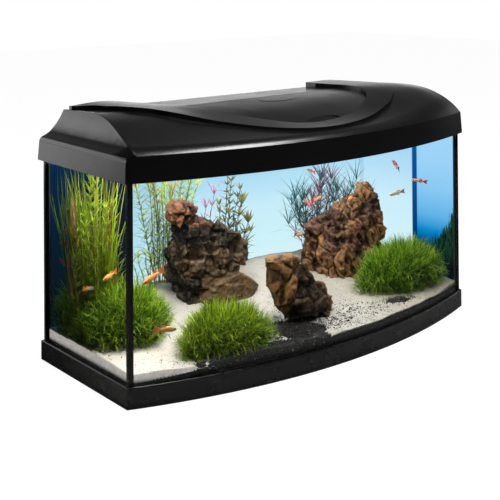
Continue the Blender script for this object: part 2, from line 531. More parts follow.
def leaf_material(name, veins=500.0, gloss=0.38, translucency=0.35, gain=1.0):
    """Leaves take their base tint from the mesh; cells, veins and sheen come from nodes."""
    n = Net(name)
    p = n.coords()
    tint = n.add("Attribute", attribute_name="Col").outputs["Color"]
    cells = n.noise(p, veins, 3.0, 0.6)
    blot = n.noise(p, 70.0, 3.0, 0.6)
    col = n.mix(n.range(blot, 0.35, 0.7), n.mix(1.0, tint, (0.72, 0.78, 0.7), "MULTIPLY"), n.mix(1.0, tint, (1.25 * gain, 1.15 * gain, 0.95 * gain), "MULTIPLY"))
    col = n.mix(n.math("MULTIPLY", cells, 0.3), col, n.mix(1.0, col, (0.6, 0.6, 0.5), "MULTIPLY"))
    pr = n.principled(Base_Color=col, Roughness=n.math("MULTIPLY_ADD", cells, 0.2, gloss), Specular_IOR_Level=0.4, Normal=n.bump(cells, 0.3, 0.0003))
    tl = n.add("BsdfTranslucent", {"Color": col}).outputs[0]
    return n.end(n.add("MixShader", {0: translucency, 1: pr, 2: tl}).outputs[0])


def fish_material():
    n = Net("fish_scales")
    p = n.coords()
    tint = n.add("Attribute", attribute_name="Col").outputs["Color"]
    sc = n.voronoi(p, 1400.0)
    d = sc.outputs["Distance"]
    col = n.mix(n.range(d, 0.2, 0.7), n.mix(1.0, tint, (1.15, 1.15, 1.15), "MULTIPLY"), n.mix(1.0, tint, (0.7, 0.62, 0.6), "MULTIPLY"))
    pr = n.principled(Base_Color=col, Roughness=0.28, Specular_IOR_Level=0.6, Normal=n.bump(d, 0.4, 0.0002))
    tl = n.add("BsdfTranslucent", {"Color": col}).outputs[0]
    return n.end(n.add("MixShader", {0: 0.2, 1: pr, 2: tl}).outputs[0])


M = {
    "hood": plastic("hood_satin_black", (0.0066, 0.0066, 0.0076), 0.235, rolled=True),
    "flap": plastic("flap_satin_black", (0.0066, 0.0066, 0.0078), 0.235),
    "frame": plastic("frame_black", (0.0042, 0.0042, 0.0046), 0.26, grain=900.0, dust=0.15),
    "badge": plastic("badge_black", (0.02, 0.02, 0.022), 0.22, grain=1500.0, wave=0.0, dust=0.1),
    "lamp_plastic": plastic("lamp_plastic_dark", (0.03, 0.03, 0.034), 0.42),
    "cable": plastic("cable_sheath", (0.012, 0.012, 0.013), 0.5, grain=700.0),
    "glass_front": glass("glass_front_pane", "front"),
    "glass_side": glass("glass_side_pane", "side"),
    "glass_back": glass("glass_back_pane", "back"),
    "glass_flat": glass("glass_flat_pane", "flat"),
    "silicone": silicone(),
    "silicone_clear": clear_silicone(),
    "film": film_material(),
    "pin": metal("pin_steel_drawn", (0.62, 0.62, 0.64), 0.3, (6.0, 200.0, 200.0)),
    "aluminium": metal("lamp_aluminium_satin", (0.78, 0.79, 0.81), 0.38, (6.0, 200.0, 200.0)),
    "screw": metal("screw_zinc", (0.6, 0.6, 0.62), 0.3, (200.0, 200.0, 200.0)),
    "board": board_material(),
    "led": led_material(),
    "diffuser": diffuser_material(),
    "sand": sand_material(),
    "soil": soil_material(),
    "rock_dark": rock_material("rock_dark_craggy", 34.0),
    "rock_tan": rock_material("rock_tan_worn", 14.0),
    "rock_brown": rock_material("rock_orange_brown"),
    "wood": wood_material(),
    "grass": leaf_material("grass_blades", 700.0, 0.42, 0.35),
    "stems": leaf_material("stem_leaves", 500.0, 0.36, 0.45),
    "purple": leaf_material("stem_leaves_purple", 500.0, 0.36, 0.4),
    "fish": fish_material(),
}
CAD_FINISH = {
    "hood_shell": "hood", "flap": "flap", "badge_plate": "badge", "hinge_pins": "pin", "lamp_housing": "aluminium", "lamp_board": "board",
    "lamp_leds": "led", "lamp_diffuser": "diffuser", "lamp_end_cap_left": "lamp_plastic", "lamp_end_cap_right": "lamp_plastic",
    "lamp_bracket_left": "lamp_plastic", "lamp_bracket_right": "lamp_plastic", "lamp_screws": "screw", "lamp_cable": "cable", "cable_plug": "cable",
    "base_frame": "frame", "front_glass": "glass_front", "left_glass": "glass_side", "right_glass": "glass_side", "back_glass": "glass_back",
    "bottom_glass": "glass_flat", "brace_back": "glass_flat", "brace_front": "glass_flat", "background_film": "film",
    "seam_back_left": "silicone", "seam_back_right": "silicone_clear", "seam_front_left": "silicone", "seam_front_right": "silicone", "seam_bottom": "silicone",
}
for node, key in CAD_FINISH.items():
    ob = bpy.data.objects[node]
    for s in ob.material_slots:
        s.material = M[key]
    if not ob.material_slots:
        ob.data.materials.append(M[key])


def settle(piece, node, slot):
    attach(piece, "tank")
    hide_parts(node)
    return piece


# ------------------------------------------------------------------ sand and soil
def bed(name, top, bottom, step, material, rough):
    """A closed bed between two heights, clipped to the inside of the panes."""
    inset = 0.0006
    xs = np.linspace(-GLASS_X + inset, GLASS_X - inset, int(2 * GLASS_X / step) + 1)
    rows = int(0.34 / step) + 1
    t = np.linspace(0, 1, rows)
    X = np.repeat(xs[:, None], rows, 1)
    front = arc_y(xs, -0.009) + inset
    Y = front[:, None] + (GLASS_BACK - inset - front)[:, None] * t[None, :]
    Z = top(X, Y)
    bump = np.zeros_like(Z)
    for i in range(X.shape[0]):
        for j in range(rows):
            v = Vector((X[i, j], Y[i, j], 0.0))
            bump[i, j] = rough * (noise.noise(v * 28) * 1.6 + noise.noise(v * 75) * 0.9 + noise.noise(v * 190) * 0.55)
    Zt = Z + bump
    Zb = np.minimum(bottom(X, Y), Zt - 0.0004)
    n1, n2 = X.shape
    idx = np.arange(n1 * n2).reshape(n1, n2)
    verts = np.concatenate([np.stack([X, Y, Zt], -1).reshape(-1, 3), np.stack([X, Y, Zb], -1).reshape(-1, 3)])
    off = n1 * n2
    faces = []
    for i in range(n1 - 1):
        for j in range(n2 - 1):
            a, b, c, d = idx[i, j], idx[i + 1, j], idx[i + 1, j + 1], idx[i, j + 1]
            faces.append((int(a), int(b), int(c), int(d)))
            faces.append((int(d + off), int(c + off), int(b + off), int(a + off)))
    for i in range(n1 - 1):
        a, b = int(idx[i, 0]), int(idx[i + 1, 0])
        faces.append((a + off, b + off, b, a))
        a, b = int(idx[i, -1]), int(idx[i + 1, -1])
        faces.append((a, b, b + off, a + off))
    for j in range(n2 - 1):
        a, b = int(idx[0, j]), int(idx[0, j + 1])
        faces.append((a, b, b + off, a + off))
        a, b = int(idx[-1, j]), int(idx[-1, j + 1])
        faces.append((a + off, b + off, b, a))
    return mesh_object(name, verts, faces, mats=[material])


settle(bed("sand", sand_z, lambda x, y: soil_z(x, y) - 0.001, 0.005, M["sand"], 0.0011), "sand_bed", "sand")
settle(bed("soil", soil_z, lambda x, y: np.full_like(x, TANK_FLOOR + 0.0005), 0.006, M["soil"], 0.0014), "soil_layer", "soil")


def gravel():
    """Loose dark grains on the soil patch and strewn over the sand round it."""
    rng = np.random.RandomState(11)
    base = np.array([(1, 0, 0), (-1, 0, 0), (0, 1, 0), (0, -1, 0), (0, 0, 1), (0, 0, -1)], float)
    tri = [(0, 2, 4), (2, 1, 4), (1, 3, 4), (3, 0, 4), (2, 0, 5), (1, 2, 5), (3, 1, 5), (0, 3, 5)]
    pts = []
    for cx, cy, sx, sy, count in ((-0.07, -0.122, 0.10, 0.03, 1500), (-0.02, -0.095, 0.055, 0.035, 420), (0.075, -0.118, 0.045, 0.022, 300),
                                  (0.215, -0.112, 0.028, 0.012, 220), (-0.29, -0.10, 0.07, 0.03, 60), (-0.375, 0.09, 0.015, 0.05, 260),
                                  (0.03, 0.03, 0.15, 0.05, 40)):
        xy = rng.normal(0, 1, (count, 2)) * (sx, sy) + (cx, cy)
        pts.append(xy)
    xy = np.concatenate(pts)
    keep = (np.abs(xy[:, 0]) < 0.389) & (xy[:, 1] > arc_y(np.clip(xy[:, 0], -0.39, 0.39), -0.013)) & (xy[:, 1] < 0.165)
    xy = xy[keep]
    verts, faces, cols = [], [], []
    for k, (x, y) in enumerate(xy):
        r = rng.uniform(0.0006, 0.0015)
        z = float(ground_z(x, y)) + r * 0.3
        pp = base * r * rng.uniform(0.6, 1.3, (6, 3)) + rng.uniform(-0.25, 0.25, (6, 3)) * r
        a = rng.uniform(0, 2 * PI)
        rot = np.array([(math.cos(a), -math.sin(a), 0), (math.sin(a), math.cos(a), 0), (0, 0, 1)])
        verts.append(pp @ rot.T + (x, y, z))
        faces += [tuple(i + 6 * k for i in f) for f in tri]
    return mesh_object("loose_grains", np.concatenate(verts), faces, smooth_faces=False, mats=[M["soil"]])


g = gravel()
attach(g, "tank")


# ------------------------------------------------------------------ rocks and wood
def fbm(v, octaves=4, gain=0.5):
    s, a = 0.0, 1.0
    for _ in range(octaves):
        s += a * noise.noise(v)
        v = v * 2.03 + Vector((3.1, 1.7, 5.9))
        a *= gain
    return s


def ridge(v, octaves=4, gain=0.5):
    s, a = 0.0, 1.0
    for _ in range(octaves):
        s += a * (1 - abs(noise.noise(v)) * 2)
        v = v * 2.1 + Vector((7.3, 2.9, 4.1))
        a *= gain
    return s


def hull(points):
    """Closed block over a set of corner points, millimetres in."""
    bm = bmesh.new()
    for q in points:
        bm.verts.new(Vector(q) / 1000)
    res = bmesh.ops.convex_hull(bm, input=bm.verts)
    bmesh.ops.delete(bm, geom=[v for v in bm.verts if not v.link_faces], context="VERTS")
    me = bpy.data.meshes.new("hull")
    bm.to_mesh(me)
    bm.free()
    return me


def carved(node, name, voxel, material, shape, tint, blocks=None, soft=4):
    """A rock: blocks (or the CAD block) joined and remeshed finely, then worked over vertex by vertex."""
    bm = bmesh.new()
    if blocks:
        for pts in blocks:
            me = hull(pts)
            bm.from_mesh(me)
            bpy.data.meshes.remove(me)
    else:
        bm.from_mesh(bpy.data.objects[node].data)
    raw = bpy.data.meshes.new(name + "_raw")
    bm.to_mesh(raw)
    bm.free()
    ob = bpy.data.objects.new(name + "_raw", raw)
    scene.collection.objects.link(ob)
    m = ob.modifiers.new("r", "REMESH")
    m.mode, m.voxel_size = "VOXEL", voxel
    m2 = ob.modifiers.new("s", "SMOOTH")
    m2.factor, m2.iterations = 0.5, soft
    bpy.context.view_layer.update()
    dg = bpy.context.evaluated_depsgraph_get()
    me = bpy.data.meshes.new_from_object(ob.evaluated_get(dg))
    bpy.data.objects.remove(ob)
    me.update()
    n = len(me.vertices)
    d = np.zeros(n)
    out = np.zeros((n, 3))
    col = np.ones((n, 4), dtype=np.float32)
    for i, v in enumerate(me.vertices):
        c, k = v.co.copy(), v.normal.copy()
        d[i] = shape(c, k)
        out[i] = c + k * d[i]
        col[i, :3] = tint(c, k)
    me.vertices.foreach_set("co", out.ravel())
    lo, hi = np.percentile(d, 4), np.percentile(d, 96)
    cav = np.clip((d - lo) / (hi - lo), 0, 1)
    me.attributes.new("Cav", "FLOAT", "POINT").data.foreach_set("value", cav.astype(np.float32))
    me.color_attributes.new("Col", "FLOAT_COLOR", "POINT").data.foreach_set("color", col.ravel())
    me.materials.clear()
    me.materials.append(material)
    me.polygons.foreach_set("use_smooth", [True] * len(me.polygons))
    me.update()
    me.name = name
    res = bpy.data.objects.new(name, me)
    scene.collection.objects.link(res)
    return res


def facets(c, scale, off, amp):
    """Flat broken faces meeting at sharp steps."""
    q = c * scale + Vector(off)
    dist, pts = noise.voronoi(q)
    p = pts[0]
    g = Vector((noise.cell(p * 7.1), noise.cell(p * 7.1 + Vector((5, 0, 0))), noise.cell(p * 7.1 + Vector((0, 9, 0)))))
    edge = min(1.0, (dist[1] - dist[0]) / 0.12)
    return amp * (((q - p).dot(g) * 1.6 + 0.5 * noise.cell(p * 13.7)) * edge - 0.55 * (1 - edge))


def both(points, y0, y1):
    return [(x, y, z) for x, z in points for y in (y0, y1)]


LEFT_BLOCKS = (
    [(-187, 74, 234), (-187, 100, 238), (-180, 72, 258), (-176, 102, 260), (-154, 70, 258), (-150, 104, 259), (-131, 76, 240), (-130, 106, 240),
     (-122, 80, 226), (-124, 108, 226), (-150, 68, 222), (-150, 110, 222), (-178, 70, 220), (-178, 108, 222)],
    [(-172, 62, 192), (-176, 110, 194), (-162, 60, 224), (-162, 112, 224), (-118, 58, 224), (-112, 112, 224), (-88, 58, 212), (-84, 112, 210),
     (-66, 66, 188), (-68, 112, 188), (-120, 50, 178), (-120, 116, 178), (-168, 60, 178)],
    [(-186, 62, 150), (-188, 110, 160), (-180, 58, 186), (-178, 112, 188), (-124, 46, 192), (-110, 118, 194), (-78, 50, 186), (-70, 116, 184),
     (-46, 58, 160), (-44, 112, 150), (-60, 48, 118), (-62, 120, 112), (-110, 42, 104), (-110, 124, 96), (-160, 48, 106), (-162, 118, 100),
     (-180, 58, 122), (-182, 110, 124)],
    [(-80, 56, 198), (-78, 108, 198), (-48, 52, 192), (-42, 104, 188), (-22, 60, 164), (-20, 100, 164), (-24, 62, 136), (-26, 102, 132),
     (-56, 50, 120), (-58, 108, 118), (-86, 54, 140), (-84, 110, 140)],
    [(-122, 30, 112), (-118, 84, 118), (-60, 36, 122), (-58, 88, 124), (-12, 40, 90), (-10, 88, 92), (-26, 38, 72), (-24, 88, 72),
     (-66, 28, 56), (-66, 84, 56), (-134, 28, 62), (-134, 84, 60), (-144, 32, 84), (-144, 84, 84)],
    [(-170, 56, 52), (-62, 50, 52), (-52, 112, 58), (-162, 118, 58), (-172, 56, 108), (-62, 50, 104), (-50, 112, 106), (-164, 118, 108)],
)


def shape_left(c, k):
    slab = c.z < 0.124 and c.y < 0.075 and c.x > -0.145
    tilt = c.z + 0.42 * c.x - 0.2 * c.y
    led = 0.5 + 0.5 * math.sin(tilt * 330 + 4 * noise.noise(c * 20))
    if slab:
        return 0.0016 * fbm(c * 40, 3) + 0.0016 * led ** 2 + 0.0012 * (ridge(Vector((c.x * 30, c.y * 30, c.z * 160)), 2) - 1)
    d = facets(c, 30, (2, 5, 1), 0.0062) + facets(c, 66, (7, 1, 3), 0.0026) + 0.0026 * (ridge(c * 48 + Vector((2, 5, 1)), 3, 0.55) - 1.0)
    return d + 0.0012 * led ** 3


def tint_left(c, k):
    if c.z > 0.216 and c.x < -0.112 + 0.004 * noise.noise(c * 60):
        return (0.080, 0.036, 0.019)
    if c.z < 0.124 and c.y < 0.078 and c.x > -0.145:
        return (0.118, 0.078, 0.040)
    t = noise.noise(c * 16 + Vector((4, 4, 4)))
    return (0.062, 0.043, 0.024) if t > 0.10 else (0.022, 0.019, 0.015)


def shape_centre(c, k):
    inner = smooth(-0.050, -0.020, c.x - 0.25 * (c.z - 0.12))
    rim = smooth(0.040, 0.060, c.x)
    chip = noise.voronoi(c * 30 + Vector((1.3, 0.4, 2.2)))[0]
    hole = max(0.0, 0.55 - chip[0]) / 0.55
    d = facets(c, 24, (4, 1, 6), 0.0046) + facets(c, 58, (1, 8, 3), 0.0018) - float(inner * (1 - 0.6 * rim)) * 0.015 * hole ** 1.3
    return d + 0.0024 * (ridge(c * 52, 3) - 0.9) * (0.25 + 0.75 * float(inner))


def tint_centre(c, k):
    inner = float(smooth(-0.046, -0.016, c.x - 0.25 * (c.z - 0.12)))
    edge = float(smooth(0.030, 0.055, c.x))
    low = float(smooth(0.105, 0.07, c.z)) * 0.35
    w = min(1.0, inner * (1 - edge) + low)
    a, b = (0.150, 0.080, 0.028), (0.046, 0.029, 0.013)
    return tuple(p * (1 - w) + q * w for p, q in zip(a, b))


def shape_right(c, k):
    # deep worn flutes running up the rock, with pockets between sharp ribs
    q = Vector((c.x + c.z * 0.30 + 0.006 * noise.noise(c * 30), c.y, c.z * 0.66))
    r = ridge(q * 52, 4, 0.62)
    chip = noise.voronoi(q * 64)[0]
    d = 0.0034 * (r - 1.0) + facets(q, 36, (1, 3, 9), 0.0058) + facets(q, 84, (5, 2, 4), 0.0022) + 0.0028 * fbm(c * 18, 2)
    return d - 0.0062 * (max(0.0, 0.46 - chip[0]) / 0.46) ** 0.8


def tint_right(c, k):
    t = noise.noise(c * 19)
    return (0.132, 0.072, 0.031) if t > 0.0 else (0.072, 0.037, 0.023)


settle(carved("rock_left", "rock_left_carved", 0.0019, M["rock_dark"], shape_left, tint_left, LEFT_BLOCKS, 2), "rock_left", "rock_dark")
settle(carved("rock_centre", "rock_centre_carved", 0.0018, M["rock_tan"], shape_centre, tint_centre, soft=2), "rock_centre", "rock_tan")
settle(carved("rock_right", "rock_right_carved", 0.0020, M["rock_brown"], shape_right, tint_right, soft=3), "rock_right", "rock_brown")


def shape_wood(c, k):
    q = Vector((c.x * 1.0, c.y * 1.0, c.z * 0.18))
    return 0.0035 * ridge(q * 70, 3) - 0.0045 + 0.0035 * noise.noise(c * 26)


settle(carved("driftwood", "driftwood_grain", 0.0026, M["wood"], shape_wood, lambda c, k: (0.2, 0.12, 0.06)), "driftwood", "wood")


# ------------------------------------------------------------------ plants
def blades(base, length, width, lean, bend, heading, twist, face, seg=4, taper=0.7, root_width=0.6):
    """Ribbons grown from many base points at once: returns vertices and faces."""
    n = len(base)
    t = np.linspace(0, 1, seg + 1)
    pos = np.zeros((n, seg + 1, 3))
    pos[:, 0] = base
    for i in range(seg):
        tm = (i + 0.5) / seg
        a = lean + bend * tm
        h = heading + twist * tm
        d = np.stack([np.sin(a) * np.cos(h), np.sin(a) * np.sin(h), np.cos(a)], -1)
        pos[:, i + 1] = pos[:, i] + d * (length / seg)[:, None]
    side = np.stack([-np.sin(face), np.cos(face), np.zeros(n)], -1)
    w = width[:, None] * 0.5 * np.clip((root_width + (1 - root_width) * np.minimum(1, t * 4))[None, :], 0, 1) * np.power(np.clip(1 - t, 0, 1), taper)[None, :]
    L = pos - side[:, None, :] * w[:, :, None]
    R = pos + side[:, None, :] * w[:, :, None]
    per = 2 * seg + 1
    verts = np.zeros((n, per, 3))
    verts[:, 0:2 * seg:2] = L[:, :seg]
    verts[:, 1:2 * seg:2] = R[:, :seg]
    verts[:, 2 * seg] = pos[:, seg]
    tt = np.zeros((n, per))
    tt[:, 0:2 * seg:2] = t[:seg]
    tt[:, 1:2 * seg:2] = t[:seg]
    tt[:, 2 * seg] = 1
    quads = [(2 * i, 2 * i + 1, 2 * i + 3, 2 * i + 2) for i in range(seg - 1)]
    faces = []
    for b in range(n):
        o = b * per
        faces += [(a + o, c + o, d + o, e + o) for a, c, d, e in quads]
        faces.append((2 * seg - 2 + o, 2 * seg - 1 + o, 2 * seg + o))
    return verts.reshape(-1, 3), faces, tt.reshape(-1), np.repeat(np.arange(n), per)


class Clump:
    """Collects ribbons and lumps into one mesh with a tint per point."""

    def __init__(self):
        self.v, self.f, self.c, self.n = [], [], [], 0

    def put(self, verts, faces, cols):
        self.v.append(verts)
        self.f += [tuple(int(i + self.n) for i in f) for f in faces]
        self.c.append(cols)
        self.n += len(verts)

    def done(self, name, material):
        return mesh_object(name, np.concatenate(self.v), self.f, np.concatenate(self.c), mats=[material])


def lerp(a, b, t):
    return np.asarray(a)[None, :] * (1 - t)[:, None] + np.asarray(b)[None, :] * t[:, None]


def keep_inside(verts, margin=0.001):
    x = np.clip(verts[:, 0], -GLASS_X + margin, GLASS_X - margin)
    y = np.clip(verts[:, 1], arc_y(x, -0.009) + margin, GLASS_BACK - margin)
    verts[:, 0], verts[:, 1] = x, y
    verts[:, 2] = np.minimum(verts[:, 2], 0.3745)
    return verts


def mound_of_grass(cl, cx, cy, ax, ay, top, seed, count, hue=0.0, length=(0.026, 0.054)):
    """A cushion of fine curly grass: a dark core under thousands of thin blades."""
    cx, cy, ax, ay, top = (v / 1000 for v in (cx, cy, ax, ay, top))
    rng = np.random.RandomState(seed)

    def outline(th):
        return 1 + 0.10 * np.sin(2 * th + seed) + 0.07 * np.sin(3 * th + 2.1 * seed) + 0.05 * np.sin(5 * th + seed * 0.7)

    def mound(x, y):
        u, v = (x - cx) / ax, (y - cy) / ay
        th = np.arctan2(v, u)
        r = np.sqrt(u * u + v * v) / outline(th)
        g = ground_z(x, y)
        crown = top - 0.030
        h = np.clip(1 - r ** 2.4, 0, 1) ** 0.6
        lump = np.array([noise.noise(Vector((a * 38, b * 38, seed))) for a, b in zip(np.ravel(x), np.ravel(y))]).reshape(np.shape(x))
        return g + np.maximum(crown - g, 0.004) * h * (0.90 + 0.34 * lump), r

    nu, nv = 40, 18
    th = np.linspace(0, 2 * PI, nu, endpoint=False)
    rr = np.linspace(0.0, 1.0, nv)
    TH, RR = np.meshgrid(th, rr)
    o = outline(TH) * RR * 0.90
    X, Y = cx + ax * o * np.cos(TH), cy + ay * o * np.sin(TH)
    Z, _ = mound(X, Y)
    V = np.stack([X, Y, Z - 0.007], -1).reshape(-1, 3)
    F = []
    for i in range(nv - 1):
        for j in range(nu):
            a, b = i * nu + j, i * nu + (j + 1) % nu
            F.append((a, b, b + nu, a + nu))
    cl.put(keep_inside(V), F, np.tile((0.004, 0.010, 0.001), (len(V), 1)))
    a = rng.uniform(0, 2 * PI, count)
    r = np.sqrt(rng.uniform(0, 1, count))
    o = outline(a) * r
    x, y = cx + ax * o * np.cos(a), cy + ay * o * np.sin(a)
    z, _ = mound(x, y)
    base = np.stack([x, y, z - 0.008], -1)
    L = rng.uniform(*length, count) * (1.1 - 0.35 * r ** 3)
    out_h = a + rng.normal(0, 1.0, count)
    lean = np.clip(rng.normal(0.25, 0.30, count) + 0.70 * r ** 2.5, -0.3, 1.3)
    bend = rng.normal(0.65, 0.8, count)
    twist = rng.normal(0, 1.3, count)
    face = rng.uniform(0, PI, count)
    W = rng.uniform(0.0015, 0.0027, count)
    V, F, t, bi = blades(base, L, W, lean, bend, out_h, twist, face, seg=4, taper=0.5)
    rnd = rng.uniform(0, 1, count)
    bright = np.clip(rnd ** 1.3, 0, 1)
    root = np.tile((0.005, 0.020, 0.001), (len(V), 1))
    tipc = lerp((0.045 + hue * 0.5, 0.17, 0.003), (0.50 + hue, 0.70, 0.050), bright[bi])
    k = np.clip(t * 1.15, 0, 1)[:, None] ** 1.1
    cl.put(keep_inside(V), F, root * (1 - k) + tipc * k)


def carpet(name, mounds):
    cl = Clump()
    for m in mounds:
        mound_of_grass(cl, *m)
    return settle(cl.done(name, M["grass"]), name.replace("_blades", ""), "grass")


carpet("grass_left_blades", [(-314, 50, 74, 62, 142, 3, 5600, 0.0), (-366, 122, 24, 36, 142, 4, 1300, -0.03)])
carpet("grass_front_blades", [(-190, -84, 86, 42, 118, 5, 5400, 0.04)])
carpet("grass_right_blades", [(284, -50, 90, 46, 146, 8, 5600, -0.035)])


def leafy(cl, rng, base, height, lean_to, whorl, gap, leaf, width, droop, colour, tipcolour, stem=0.0012, stemcolour=(0.12, 0.10, 0.02), start=0.15, tip_len=1.0, rise=0.9):
    """One stem with whorls of leaves."""
    n = max(3, int(height / gap))
    t = np.linspace(0, 1, n)
    path = np.array([base + np.array(lean_to) * (s ** 1.6) + np.array((0.003 * math.sin(5 * s + base[0] * 90), 0.003 * math.cos(4 * s + base[1] * 70), height * s)) for s in t])
    # stem as a thin three-sided tube
    ring = np.array([(math.cos(a), math.sin(a), 0) for a in (0.3, 2.4, 4.5)])
    V = (path[:, None, :] + ring[None] * (stem * (1 - 0.5 * t))[:, None, None]).reshape(-1, 3)
    F = []
    for i in range(n - 1):
        for j in range(3):
            F.append((3 * i + j, 3 * i + (j + 1) % 3, 3 * i + 3 + (j + 1) % 3, 3 * i + 3 + j))
    cl.put(keep_inside(V), F, np.tile(stemcolour, (len(V), 1)))
    B, LN, LE, HD, TI = [], [], [], [], []
    for i in range(n):
        s = t[i]
        if s < start:
            continue
        turn = rng.uniform(0, 2 * PI)
        k = whorl if i < n - 1 else whorl + 3
        for j in range(k):
            B.append(path[i])
            LN.append(leaf * rng.uniform(0.7, 1.15) * (0.75 + 0.25 * math.sin(PI * min(1, s + 0.25))) * (tip_len if s > 0.93 else 1))
            LE.append(rise * rng.uniform(0.7, 1.3) * (1.0 - 0.55 * max(0, s - 0.75) / 0.25))
            HD.append(turn + j * 2 * PI / k + rng.normal(0, 0.2))
            TI.append(s)
    B, LN, LE, HD, TI = map(np.array, (B, LN, LE, HD, TI))
    m = len(B)
    V, F, tt, bi = blades(B, LN, np.full(m, width) * rng.uniform(0.8, 1.2, m), LE, np.full(m, droop) * rng.uniform(0.3, 1.4, m), HD, rng.normal(0, 0.3, m),
                          HD + rng.normal(0, 0.5, m), seg=4, taper=0.75, root_width=0.35)
    mixv = np.clip(TI[bi] ** 1.5 + rng.normal(0, 0.08, m)[bi], 0, 1)
    col = lerp(colour, tipcolour, mixv) * (0.65 + 0.5 * rng.uniform(0, 1, m)[bi] + 0.15 * tt)[:, None]
    cl.put(keep_inside(V), F, col)


def stems_left():
    rng = np.random.RandomState(21)
    cl = Clump()
    for i in range(15):
        f = i / 14
        x = -0.176 + 0.058 * f + rng.uniform(-0.004, 0.004)
        y = 0.156 + rng.uniform(-0.010, 0.008)
        z = float(ground_z(x, y))
        h = rng.uniform(0.17, 0.235)
        reddish = i in (1, 4, 9)
        leafy(cl, rng, np.array((x, y, z)), h, (-0.052 + 0.080 * f + rng.uniform(-0.014, 0.014), rng.uniform(-0.03, 0.0), 0), 5, 0.0105, 0.046, 0.0026, 1.1,
              (0.15, 0.29, 0.005), (0.50, 0.20, 0.05) if reddish else (0.50, 0.62, 0.02), stemcolour=(0.20, 0.20, 0.02), rise=0.9, start=0.12, stem=0.0011)
    for i in range(5):
        x = -0.205 + rng.uniform(-0.022, 0.022)
        y = 0.135 + rng.uniform(-0.012, 0.012)
        leafy(cl, rng, np.array((x, y, float(ground_z(x, y)))), rng.uniform(0.05, 0.09), (rng.uniform(-0.02, 0.01), -0.01, 0), 4, 0.0110, 0.032, 0.0024, 1.0,
              (0.13, 0.28, 0.006), (0.42, 0.55, 0.02), stemcolour=(0.2, 0.2, 0.03), rise=0.95, start=0.05)
    k = 20
    base = np.stack([-0.152 + rng.uniform(-0.030, 0.030, k), 0.156 + rng.uniform(-0.008, 0.010, k), np.full(k, 0.07)], -1)
    V, F, t, bi = blades(base, rng.uniform(0.18, 0.28, k), rng.uniform(0.0018, 0.0028, k), rng.uniform(0, 0.10, k), rng.uniform(0.0, 0.35, k),
                         rng.uniform(0, 2 * PI, k), rng.normal(0, 0.5, k), rng.uniform(-0.7, 0.7, k), seg=8, taper=0.35)
    col = lerp((0.14, 0.24, 0.012), (0.48, 0.54, 0.06), np.clip(t + rng.normal(0, 0.15, k)[bi], 0, 1))
    cl.put(keep_inside(V), F, col)
    return settle(cl.done("stem_plants_left_leaves", M["stems"]), "stem_plants_left", "stems")


def tall_grass():
    rng = np.random.RandomState(22)
    cl = Clump()
    k = 250
    ang = rng.uniform(0, 2 * PI, k)
    rad = np.sqrt(rng.uniform(0, 1, k))
    base = np.stack([-0.334 + 0.042 * rad * np.cos(ang), 0.110 + 0.046 * rad * np.sin(ang), np.full(k, 0.052)], -1)
    heading = np.where(base[:, 0] > -0.325, PI + rng.normal(0, 0.9, k), ang + rng.normal(0, 0.8, k))
    V, F, t, bi = blades(base, rng.uniform(0.14, 0.318, k), rng.uniform(0.0018, 0.0034, k), rng.uniform(0, 0.13, k), rng.uniform(-0.05, 0.38, k),
                         heading, rng.normal(0, 0.5, k), rng.uniform(0, PI, k), seg=9, taper=0.4)
    warm = (rng.uniform(0, 1, k) < 0.30)[bi] | (V[:, 0] > -0.316) & (rng.uniform(0, 1, k) < 0.5)[bi]
    u = np.clip(t * 0.8 + rng.normal(0.12, 0.26, k)[bi], 0, 1)
    c0 = lerp((0.022, 0.085, 0.002), (0.26, 0.39, 0.014), u)
    c1 = lerp((0.07, 0.055, 0.005), (0.30, 0.22, 0.030), u)
    cl.put(keep_inside(V), F, np.where(warm[:, None], c1, c0))
    for i in range(16):
        x, y = -0.345 + rng.uniform(-0.042, 0.045), 0.095 + rng.uniform(-0.04, 0.05)
        leafy(cl, rng, np.array((x, y, float(ground_z(x, y)))), rng.uniform(0.12, 0.275), (rng.uniform(-0.03, 0.005), rng.uniform(-0.02, 0.01), 0), 4, 0.0125,
              0.034, 0.0024, 0.9, (0.05, 0.13, 0.005), (0.28, 0.39, 0.022), stemcolour=(0.2, 0.2, 0.03), rise=0.75)
    return settle(cl.done("tall_grass_left_leaves", M["stems"]), "tall_grass_left", "stems")


def stems_centre():
    rng = np.random.RandomState(23)
    cl = Clump()
    spots = ((-0.014, 0.150, 0.195, 0.012), (0.000, 0.158, 0.185, 0.016), (0.016, 0.150, 0.130, 0.016), (0.024, 0.142, 0.085, 0.018),
             (0.034, 0.150, 0.062, 0.016), (-0.026, 0.146, 0.130, -0.004), (-0.006, 0.140, 0.110, 0.0), (0.010, 0.156, 0.150, 0.022))
    for x, y, h, lx in spots:
        leafy(cl, rng, np.array((x, y, float(ground_z(x, y)))), h, (lx, 0.0, 0), 5, 0.0135, 0.028, 0.0048, 0.35,
              (0.07, 0.11, 0.07), (0.26, 0.25, 0.11), stemcolour=(0.12, 0.10, 0.06), rise=1.05, start=0.1)
    for x, y, h, lx in ((0.028, 0.140, 0.084, 0.010), (0.018, 0.146, 0.122, 0.010)):
        leafy(cl, rng, np.array((x, y, float(ground_z(x, y)))), h, (lx, 0.0, 0), 8, 0.0160, 0.038, 0.0068, 0.25,
              (0.09, 0.13, 0.08), (0.30, 0.28, 0.13), stemcolour=(0.12, 0.10, 0.06), rise=1.1, start=0.5, tip_len=1.15)
    for x, y, h in ((-0.052, 0.146, 0.155), (-0.066, 0.152, 0.130)):
        leafy(cl, rng, np.array((x, y, float(ground_z(x, y)))), h, (0.010, 0, 0), 4, 0.018, 0.034, 0.0040, 0.2,
              (0.22, 0.10, 0.24), (0.60, 0.22, 0.45), stemcolour=(0.25, 0.1, 0.16), rise=0.9, start=0.55, tip_len=1.2)
    return settle(cl.done("stem_plants_centre_leaves", M["stems"]), "stem_plants_centre", "stems")


